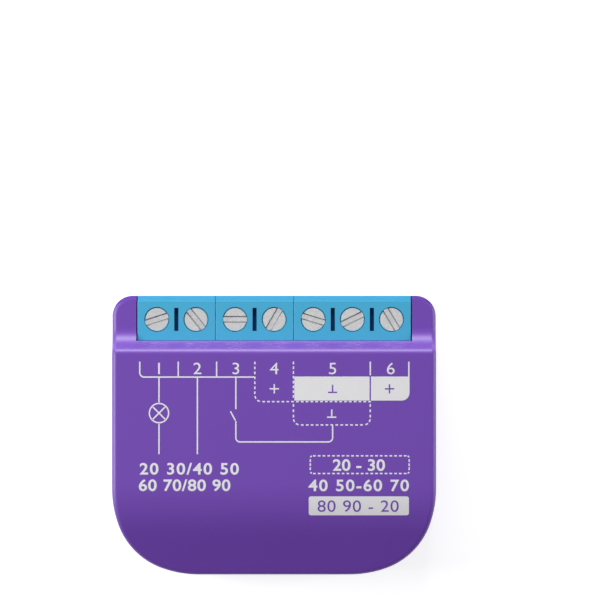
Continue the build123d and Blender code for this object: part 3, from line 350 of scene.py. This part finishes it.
def lamp(name, place, size, power):
    """A white softbox that looks at the module."""
    light = bpy.data.lights.new(name, "AREA")
    light.shape = "RECTANGLE"
    light.size, light.size_y = size
    light.energy = power
    holder = bpy.data.objects.new(name, light)
    holder.location = place
    holder.rotation_euler = (Vector(LAMP_AIM) - Vector(place)).to_track_quat("-Z", "Y").to_euler()
    bpy.context.scene.collection.objects.link(holder)


# Values that a user would change

class CaseLook(bpy.types.PropertyGroup):
    """Colours and surface of the case, the terminal blocks and the ink."""
    case_colour: bpy.props.StringProperty(
        name="Case colour", description="sRGB hex of the moulded case", default="6A35AF")
    block_colour: bpy.props.StringProperty(
        name="Block colour", description="sRGB hex of the terminal blocks", default="42ABD2")
    ink_colour: bpy.props.StringProperty(
        name="Ink colour", description="sRGB hex of the light print", default="E5E4E6")
    texture_depth: bpy.props.FloatProperty(
        name="Texture depth", description="Depth of the moulded texture in millimetres", default=0.004,
        min=0.0, max=0.05)


class PrintSizes(bpy.types.PropertyGroup):
    """Sizes of the printed marks, in millimetres."""
    line: bpy.props.FloatProperty(
        name="Line width", description="Width of a printed line in millimetres", default=0.18, min=0.05,
        max=1.0)
    dash: bpy.props.FloatProperty(
        name="Dash", description="Length of a dash in millimetres", default=0.35, min=0.1, max=2.0)
    gap: bpy.props.FloatProperty(
        name="Gap", description="Gap between dashes in millimetres", default=0.28, min=0.1, max=2.0)
    label: bpy.props.FloatProperty(
        name="Label height", description="Height of the terminal numbers in millimetres", default=1.5,
        min=0.5, max=4.0)
    boldness: bpy.props.FloatProperty(
        name="Boldness", description="Outward offset of the bold figures, as a share of their body",
        default=0.02, min=0.0, max=0.028)
    legend: bpy.props.FloatProperty(
        name="Legend height", description="Height of the bold figures in millimetres", default=1.53,
        min=0.5, max=4.0)


class StudioLook(bpy.types.PropertyGroup):
    """Lights and camera of the studio."""
    key_power: bpy.props.FloatProperty(
        name="Key light", description="Power of the softbox beyond the terminals", default=4.3, min=0.0,
        unit="POWER")
    top_power: bpy.props.FloatProperty(
        name="Top light", description="Power of the overhead softbox", default=0.115, min=0.0, unit="POWER")
    left_power: bpy.props.FloatProperty(
        name="Left light", description="Power of the softbox on the left", default=1.35, min=0.0,
        unit="POWER")
    right_power: bpy.props.FloatProperty(
        name="Right light", description="Power of the softbox on the right", default=1.35, min=0.0,
        unit="POWER")
    room_light: bpy.props.FloatProperty(
        name="Room light", description="Strength of the even light of the room", default=0.12, min=0.0)
    camera_height: bpy.props.FloatProperty(
        name="Camera height", description="Height of the camera over the front face", default=1.0, min=0.2,
        unit="LENGTH")


# Operators: finishes of the carried-over nodes

class RELAY_OT_finish_case(bpy.types.Operator):
    """Moulded case: front shell and back cover"""
    bl_idname = "relay.finish_case"
    bl_label = "Finish the case"

    def execute(self, context):
        look = context.scene.relay_case
        # Purple polycarbonate-ABS blend from a spark-eroded mould: an even satin with a
        # very fine pebbled texture that breaks up the highlights. The real texture is
        # about 0.1 mm between peaks and is drawn at 0.16 mm so that it shows.
        dress("case_plastic", finish(
            "satin moulded case plastic", look.case_colour, "6733AB", patch_mm=9.0, grain_mm=0.16,
            grain_depth_mm=look.texture_depth, roughness=(0.46, 0.54), IOR=1.58,
            **{"Specular IOR Level": 0.8}))
        return {"FINISHED"}


class RELAY_OT_finish_blocks(bpy.types.Operator):
    """Moulded bodies of the terminal blocks"""
    bl_idname = "relay.finish_blocks"
    bl_label = "Finish the terminal blocks"

    def execute(self, context):
        # Light blue polyamide from a polished mould: smooth, slightly waxy, soft gloss.
        dress("block_plastic", finish(
            "polyamide terminal block", context.scene.relay_case.block_colour, "3FA8CF", patch_mm=5.0,
            grain_mm=0.3, grain_depth_mm=0.001, roughness=(0.38, 0.48), IOR=1.53))
        return {"FINISHED"}


class RELAY_OT_build_markers(bpy.types.Operator):
    """Dark bars sunk in the slots between the screws: painted shade"""
    bl_idname = "relay.build_markers"
    bl_label = "Build the marker bars"

    def execute(self, context):
        # Painted shade: a matt navy bar deep in each slot stands for the shade there and reads as nearly
        # black.
        navy = finish("navy nylon marker", "00376C", "003263", patch_mm=1.0, grain_mm=0.15,
                      grain_depth_mm=0.001, roughness=(0.6, 0.7), IOR=1.5, **{"Specular IOR Level": 0.2})
        bars = bmesh.new()
        screws = [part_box(f"terminal_screw_{i}") for i in range(1, 8)]
        middles = [((a[0] + b[0]) / 2, (a[1] + b[1]) / 2) for a, b in screws]
        blocks = [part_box(f"terminal_block_{side}") for side in ("left", "middle", "right")]
        for (x_1, y), (x_2, _) in zip(middles, middles[1:]):
            x = (x_1 + x_2) / 2
            for block_low, block_high in blocks:
                if block_low[0] + BAR_CLEAR < x < block_high[0] - BAR_CLEAR:
                    place = Matrix.Translation((x, y, block_high[2] - BAR_DEPTH - BAR_SIZE[2] / 2))
                    place @= Matrix.Diagonal((*BAR_SIZE, 1))
                    made = bmesh.ops.create_cube(bars, size=1.0, matrix=place)
                    edges = {e for v in made["verts"] for e in v.link_edges}
                    bmesh.ops.bevel(bars, geom=list(edges), offset=BAR_EDGE, segments=2, profile=0.5,
                                    affect="EDGES", material=-1)
        add_piece(bars, "marker_bars", navy)
        return {"FINISHED"}


class RELAY_OT_finish_screws(bpy.types.Operator):
    """Nickel-plated clamping screws"""
    bl_idname = "relay.finish_screws"
    bl_label = "Finish the screws"

    def execute(self, context):
        # Steel under bright nickel plate: an even pale shine, hardly any grain. The steep sides, the
        # walls of the drive slot among them, are painted dull grey with less metal as painted shade.
        dress("screw_steel", finish(
            "nickel-plated steel", "F0F0F1", "EAEAEB", patch_mm=1.2, grain_mm=0.3, grain_depth_mm=0.0002,
            roughness=(0.26, 0.32), steep_shade="A4A4A8", Metallic=1.0))
        # Zinc plate on the pressed cages: greyer, with the draw marks of the press along Z.
        dress("cage_steel", finish(
            "zinc-plated pressed steel", "C2C3C6", "B4B6BA", patch_mm=1.5, grain_mm=0.12,
            grain_depth_mm=0.001, stretch=(1, 1, 0.12), roughness=(0.3, 0.45), Metallic=1.0))
        # Tinned brass bars: pale yellow metal, softly polished.
        dress("contact_brass", finish(
            "tinned brass", "CDB98A", "D8CCA6", patch_mm=2.0, grain_mm=0.1, grain_depth_mm=0.0006,
            roughness=(0.22, 0.34), Metallic=1.0))
        return {"FINISHED"}


class RELAY_OT_finish_boards(bpy.types.Operator):
    """Circuit boards, the shield can, the antenna and the flat chips"""
    bl_idname = "relay.finish_boards"
    bl_label = "Finish the boards"

    def execute(self, context):
        # Green solder resist over glass cloth: the 0.5 mm weave shows faintly through.
        dress("board", finish(
            "green solder resist", "1C6A3C", "24774A", patch_mm=0.5, grain_mm=0.5, grain_depth_mm=0.004,
            roughness=(0.25, 0.4), IOR=1.55))
        dress("radio_board", finish(
            "dark blue solder resist", "182F55", "1E3A66", patch_mm=0.5, grain_mm=0.5, grain_depth_mm=0.004,
            roughness=(0.22, 0.36), IOR=1.55))
        # Rolled tin plate: bright, with faint rolling lines along X.
        dress("shield_tin", finish(
            "rolled tin plate", "C9CACB", "BFC1C3", patch_mm=3.0, grain_mm=0.1, grain_depth_mm=0.0008,
            stretch=(0.08, 1, 1), roughness=(0.24, 0.36), Metallic=1.0))
        # Bare copper of the antenna, lightly oxidised.
        dress("copper", finish(
            "bare copper", "C27A54", "A9633F", patch_mm=1.0, grain_mm=0.1, grain_depth_mm=0.0006,
            roughness=(0.28, 0.42), Metallic=1.0))
        # Black epoxy moulding compound: matt, with an eroded-mould grain of 0.1 mm.
        dress("chip_black", finish(
            "black epoxy moulding", "1D1D1F", "242426", patch_mm=1.5, grain_mm=0.1, grain_depth_mm=0.003,
            roughness=(0.5, 0.65), IOR=1.55))
        return {"FINISHED"}


class RELAY_OT_finish_relay(bpy.types.Operator):
    """Relay: cover, bobbin, winding and iron parts"""
    bl_idname = "relay.finish_relay"
    bl_label = "Finish the relay"

    def execute(self, context):
        # Blue relay housing, polished mould: glossy, thin-walled.
        dress("relay_plastic", finish(
            "polished relay moulding", "2A4C9C", "26458F", patch_mm=6.0, grain_mm=0.4,
            grain_depth_mm=0.0006, roughness=(0.18, 0.28), IOR=1.53))
        # Glass-filled natural polyester: cream, matt, slightly mottled by the fibres.
        dress("bobbin_plastic", finish(
            "glass-filled moulding", "E0DCCB", "D2CDB9", patch_mm=0.8, grain_mm=0.15, grain_depth_mm=0.002,
            roughness=(0.5, 0.62), IOR=1.55))
        # Enamelled copper wire in layers: 0.12 mm turns round the Y axis.
        dress("copper_wire", finish(
            "enamelled copper winding", "A5512A", "B9642F", patch_mm=1.5, grain_mm=0.12,
            grain_depth_mm=0.02, stretch=(0.05, 1, 0.05), roughness=(0.24, 0.36), Metallic=0.7))
        # Annealed soft iron under thin nickel: grey, satin.
        dress("iron", finish(
            "nickel-plated soft iron", "A7A8AA", "9C9DA0", patch_mm=2.0, grain_mm=0.15,
            grain_depth_mm=0.001, roughness=(0.35, 0.5), Metallic=1.0))
        return {"FINISHED"}


class RELAY_OT_finish_mains(bpy.types.Operator):
    """Transformer, capacitors, varistor, resistor and choke"""
    bl_idname = "relay.finish_mains"
    bl_label = "Finish the mains parts"

    def execute(self, context):
        # Sintered ferrite: charcoal ceramic, ground faces, slightly porous.
        dress("ferrite", finish(
            "sintered ferrite", "3A3A3D", "434347", patch_mm=1.0, grain_mm=0.08, grain_depth_mm=0.003,
            roughness=(0.45, 0.6), IOR=2.0))
        # Yellow polyester tape wound flat: glossy film with the edges of its layers.
        dress("tape", finish(
            "polyester winding tape", "E2C13C", "D6B22E", patch_mm=4.0, grain_mm=0.6, grain_depth_mm=0.01,
            stretch=(0.1, 0.1, 1), roughness=(0.16, 0.28), IOR=1.6))
        # Heat-shrunk sleeve of the cans: dark blue film, glossy.
        dress("can", finish(
            "shrink sleeve", "232C47", "1E2740", patch_mm=3.0, grain_mm=0.5, grain_depth_mm=0.002,
            roughness=(0.2, 0.3), IOR=1.53))
        # Dipped epoxy of the varistor: blue, glossy, uneven where it ran.
        dress("varistor_blue", finish(
            "dipped blue epoxy", "2C55A6", "264B96", patch_mm=1.2, grain_mm=1.0, grain_depth_mm=0.03,
            roughness=(0.18, 0.3), IOR=1.55))
        # Flame-proof lacquer of the resistor: grey green, eggshell.
        dress("resistor_green", finish(
            "resistor lacquer", "6F8F70", "668668", patch_mm=1.0, grain_mm=0.3, grain_depth_mm=0.006,
            roughness=(0.4, 0.52), IOR=1.5))
        # Potted box of the capacitor: yellow polyester, semi-matt.
        dress("film_cap", finish(
            "yellow capacitor box", "DCC24A", "D4B940", patch_mm=4.0, grain_mm=0.2, grain_depth_mm=0.002,
            roughness=(0.34, 0.46), IOR=1.5))
        return {"FINISHED"}


class RELAY_OT_finish_controls(bpy.types.Operator):
    """Side button, its plunger, the status light and its pipe"""
    bl_idname = "relay.finish_controls"
    bl_label = "Finish the button and the light"

    def execute(self, context):
        # White polished button moulding.
        dress("button_plastic", finish(
            "polished white moulding", "E9E9EC", "E2E2E6", patch_mm=2.0, grain_mm=0.3,
            grain_depth_mm=0.0006, roughness=(0.2, 0.3), IOR=1.5))
        dress("plunger_plastic", finish(
            "black moulded nylon", "26262A", "2D2D31", patch_mm=1.0, grain_mm=0.1, grain_depth_mm=0.001,
            roughness=(0.4, 0.5), IOR=1.53))
        # The unlit light chip: milky yellow resin.
        dress("light_chip", finish(
            "milky light resin", "F0ECC8", "E9E3B4", patch_mm=0.8, grain_mm=0.2, grain_depth_mm=0.0006,
            roughness=(0.2, 0.3), IOR=1.5))
        # Clear polycarbonate of the light pipe, polished ends.
        dress("clear_plastic", finish(
            "clear polycarbonate", "EDF4FA", "E4EEF6", patch_mm=2.0, grain_mm=0.3, grain_depth_mm=0.0004,
            roughness=(0.06, 0.12), IOR=1.585, **{"Transmission Weight": 0.9}))
        return {"FINISHED"}


# Operators: printed marks

class RELAY_OT_print_lines(bpy.types.Operator):
    """Solid and dashed lines of the wiring diagram"""
    bl_idname = "relay.print_lines"
    bl_label = "Print the diagram lines"

    def execute(self, context):
        sizes = context.scene.relay_print
        w, on, off = sizes.line, sizes.dash, sizes.gap
        half, r = w / 2, WIRE_BEND
        left, a, b, c, d, e, right = FIELD_LINES
        lamp_x, plain_x, switch_x, _, wide_x, _ = FIELD_CENTRES
        solid = bmesh.new()
        # Bracket under the first fields, with its dividers.
        bar(solid, left, FIELD_TOP, left, BRACKET + r, w)
        bend(solid, left + r, BRACKET + r, r, 180, 90, w)
        bar(solid, left + r, BRACKET, c - half, BRACKET, w)
        for x in (a, b):
            bar(solid, x, FIELD_TOP, x, BRACKET + half, w)
        bar(solid, e, FIELD_TOP, e, LAST_LINE_END, w)
        bar(solid, right, FIELD_TOP, right, BOX_TOP, w)
        # Lamp wire, plain wire and switch wire.
        bar(solid, lamp_x, BRACKET - half, lamp_x, LAMP_TOP, w)
        bar(solid, lamp_x, LAMP_FOOT, lamp_x, WIRE_END, w)
        bar(solid, plain_x, BRACKET - half, plain_x, WIRE_END, w)
        bar(solid, switch_x, BRACKET - half, switch_x, SWITCH_TOP, w)
        bar(solid, *SWITCH_LEVER, w)
        bar(solid, switch_x, SWITCH_FOOT, switch_x, WIRE_ROW + r, w)
        bend(solid, switch_x + r, WIRE_ROW + r, r, 180, 90, w)
        bar(solid, switch_x + r, WIRE_ROW, wide_x - r, WIRE_ROW, w)
        bend(solid, wide_x - r, WIRE_ROW + r, r, 270, 90, w)
        bar(solid, wide_x, WIRE_ROW + r, wide_x, DASHED_FOOT - half, w)
        lay_ink(solid, "diagram_lines")
        # Dashed outline of the fourth field and of the box below the wide field.
        broken = bmesh.new()
        r = DASHED_BEND
        near = r + CORNER_GAP
        gap_above, gap_below = ROW_GAPS
        dashes(broken, c, FIELD_TOP, c, DASHED_ROW + near, w, on, off)
        for start in (190, 190 + CORNER_STEP):
            bend(broken, c + r, DASHED_ROW + r, r, start, CORNER_DASH, w, 4)
        dashes(broken, c + near, DASHED_ROW, e + half, DASHED_ROW, w, on, off)
        dashes(broken, d, FIELD_TOP, d, DASHED_ROW + gap_above, w, on, off)
        for x, start, way in ((d, 190, 1), (e, 350, -1)):
            dashes(broken, x, DASHED_ROW - gap_below, x, DASHED_FOOT + near, w, on, off)
            for shift in (0, way * CORNER_STEP):
                bend(broken, x + way * r, DASHED_FOOT + r, r, start + shift, way * CORNER_DASH, w, 4)
        dashes(broken, d + near, DASHED_FOOT, e - near, DASHED_FOOT, w, on, off)
        # Dashed outline round the third row of bold figures, with one dash at each corner.
        x0, y0, x1, y1 = DASHED_LEGEND
        r = LEGEND_BEND
        gap_x, gap_y = LEGEND_GAPS
        for y in (y0, y1):
            dashes(broken, x0 + gap_x, y, x1 - gap_x, y, w, on, off)
        for x in (x0, x1):
            dashes(broken, x, y0 + gap_y, x, y1 - gap_y, w, on, off)
        for x, y, start in ((x0 + r, y0 + r, 200), (x1 - r, y0 + r, 290), (x1 - r, y1 - r, 20),
                            (x0 + r, y1 - r, 110)):
            bend(broken, x, y, r, start, LEGEND_DASH, w, 4)
        lay_ink(broken, "diagram_dashes")
        return {"FINISHED"}


class RELAY_OT_print_fields(bpy.types.Operator):
    """Filled fields of the diagram and of the last legend"""
    bl_idname = "relay.print_fields"
    bl_label = "Print the filled fields"

    def execute(self, context):
        half = context.scene.relay_print.line / 2
        d, e, right = FIELD_LINES[4:]
        flat = bmesh.new()
        field(flat, d + half + FIELD_GAP, BOX_BOTTOM, e - half, BOX_TOP, (0, 0, 0, 0))
        field(flat, e + half, BOX_BOTTOM, right + half, BOX_TOP, (0, FIELD_BEND, 0, 0))
        field(flat, *FILLED_LEGEND, (LEGEND_BEND,) * 4)
        lay_ink(flat, "filled_fields")
        return {"FINISHED"}


class RELAY_OT_print_symbols(bpy.types.Operator):
    """Lamp, plus and earth signs"""
    bl_idname = "relay.print_symbols"
    bl_label = "Print the symbols"

    def execute(self, context):
        w = context.scene.relay_print.line
        half = w / 2
        lamp_x = FIELD_CENTRES[0]
        flat = bmesh.new()
        bend(flat, lamp_x, LAMP_ROW, LAMP_RADIUS, 0, 360, w, 40)
        reach, near = LAMP_ARM * math.sqrt(0.5), half * math.sqrt(0.5)
        bar(flat, lamp_x - reach, LAMP_ROW - reach, lamp_x + reach, LAMP_ROW + reach, w)
        for way in (-1, 1):
            bar(flat, lamp_x - way * near, LAMP_ROW + way * near,
                lamp_x - way * reach, LAMP_ROW + way * reach, w)
        lay_ink(flat, "lamp_symbol")
        for name, light, signs in (("light_signs", True, LIGHT_SIGNS), ("dark_signs", False, DARK_SIGNS)):
            flat = bmesh.new()
            for kind, x, y in signs:
                if kind == "plus":
                    bar(flat, x - SIGN_ARM, y, x + SIGN_ARM, y, w)
                    bar(flat, x, y + half, x, y + SIGN_ARM, w)
                    bar(flat, x, y - half, x, y - SIGN_ARM, w)
                else:
                    bar(flat, x - SIGN_ARM, y + EARTH_BAR, x + SIGN_ARM, y + EARTH_BAR, w)
                    bar(flat, x, y + EARTH_BAR + half, x, y + EARTH_TIP, w)
            lay_ink(flat, name, light)
        return {"FINISHED"}


class RELAY_OT_print_numbers(bpy.types.Operator):
    """Terminal numbers and the bold rows of figures"""
    bl_idname = "relay.print_numbers"
    bl_label = "Print the numbers"

    def execute(self, context):
        sizes = context.scene.relay_print
        flat = bmesh.new()
        for i, x in enumerate(FIELD_CENTRES, start=1):
            numerals(flat, str(i), x, NUMBER_ROW, sizes.label)
        lay_ink(flat, "terminal_numbers")
        flat = bmesh.new()
        for text, x0, x1, y in BOLD_ROWS:
            numerals(flat, text, (x0 + x1) / 2, y, sizes.legend, sizes.boldness, x1 - x0)
        lay_ink(flat, "bold_figures")
        flat = bmesh.new()
        text, x, y, width = DARK_ROW
        numerals(flat, text, x, y, sizes.label, width=width)
        lay_ink(flat, "dark_figures", light=False)
        return {"FINISHED"}


# Operator: the studio

class RELAY_OT_set_stage(bpy.types.Operator):
    """Floor, room light, softboxes and camera"""
    bl_idname = "relay.set_stage"
    bl_label = "Set the stage"

    def execute(self, context):
        scene = context.scene
        look = scene.relay_studio
        scene.view_settings.view_transform = "Standard"
        # Matt white floor, a hair below the module. What the camera, metal and glass see of
        # it is lifted to white, and the shadow of the module stays on it.
        flat = bmesh.new()
        bmesh.ops.create_grid(flat, x_segments=1, y_segments=1, size=FLOOR_HALF,
                              matrix=Matrix.Translation((0, 0, -FLOOR_DROP)))
        shape = bpy.data.meshes.new("floor")
        flat.to_mesh(shape)
        flat.free()
        floor = bpy.data.objects.new("floor", shape)
        scene.collection.objects.link(floor)
        paint = bpy.data.materials.new("matt white floor paint")
        paint.use_nodes = True
        tree = paint.node_tree
        tree.nodes.clear()
        seen = put(tree, "ShaderNodeLightPath").outputs
        direct = seen["Is Camera Ray"]
        for ray in ("Is Glossy Ray", "Is Transmission Ray"):
            direct = put(tree, "ShaderNodeMath", {"operation": "MAXIMUM"},
                         links={0: direct, 1: seen[ray]}).outputs[0]
        lift = put(tree, "ShaderNodeMath", {"operation": "MULTIPLY"}, {1: FLOOR_LIFT}, {0: direct})
        skin = put(tree, "ShaderNodeBsdfPrincipled", values={
            "Base Color": linear("C0C0C0"), "Roughness": 0.9, "Emission Color": linear("FFFFFF")},
            links={"Emission Strength": lift.outputs[0]})
        put(tree, "ShaderNodeOutputMaterial", links={"Surface": skin.outputs[0]})
        shape.materials.append(paint)
        # Even light of a pale room.
        room = bpy.data.worlds.new("pale room")
        scene.world = room
        room.use_nodes = True
        tree = room.node_tree
        tree.nodes.clear()
        sky = put(tree, "ShaderNodeBackground",
                  values={"Color": linear("FFFFFF"), "Strength": look.room_light})
        put(tree, "ShaderNodeOutputWorld", links={"Surface": sky.outputs[0]})
        # Softboxes: a raking key beyond the terminals and weaker ones overhead and at the sides.
        for name, place, size in LAMPS:
            lamp(f"{name}_light", place, size, getattr(look, f"{name}_power"))
        # The camera looks straight down.
        camera = bpy.data.cameras.new("camera")
        camera.sensor_width = SENSOR_MM
        camera.lens = SENSOR_MM * look.camera_height * 1000 / VIEW_WIDTH_MM
        camera.clip_end = 20.0
        camera.clip_start = 0.01
        holder = bpy.data.objects.new("camera", camera)
        holder.location = (*CAMERA_PLACE, high.z + look.camera_height)
        scene.collection.objects.link(holder)
        scene.camera = holder
        return {"FINISHED"}


class RELAY_PT_panel(bpy.types.Panel):
    """Steps that dress the relay module, in order"""
    bl_idname = "RELAY_PT_panel"
    bl_label = "Relay module"
    bl_space_type = "VIEW_3D"
    bl_region_type = "UI"
    bl_category = "Relay module"

    def draw(self, context):
        for group in GROUPS:
            values = getattr(context.scene, group)
            for key in values.__annotations__:
                self.layout.prop(values, key)
        for step in STEPS:
            self.layout.operator(step.bl_idname)


STEPS = (RELAY_OT_finish_case, RELAY_OT_finish_blocks, RELAY_OT_build_markers,
         RELAY_OT_finish_screws, RELAY_OT_finish_boards, RELAY_OT_finish_relay,
         RELAY_OT_finish_mains, RELAY_OT_finish_controls, RELAY_OT_print_lines,
         RELAY_OT_print_fields, RELAY_OT_print_symbols, RELAY_OT_print_numbers,
         RELAY_OT_set_stage)
GROUPS = {"relay_case": CaseLook, "relay_print": PrintSizes, "relay_studio": StudioLook}


def register():
    for kind in (*GROUPS.values(), *STEPS, RELAY_PT_panel):
        bpy.utils.register_class(kind)
    for key, kind in GROUPS.items():
        setattr(bpy.types.Scene, key, bpy.props.PointerProperty(type=kind))


def unregister():
    for key in GROUPS:
        delattr(bpy.types.Scene, key)
    for kind in reversed((*GROUPS.values(), *STEPS, RELAY_PT_panel)):
        bpy.utils.unregister_class(kind)


def main():
    """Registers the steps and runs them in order."""
    register()
    for step in STEPS:
        group, name = step.bl_idname.split(".")
        getattr(getattr(bpy.ops, group), name)()


if __name__ == "__main__":
    main()
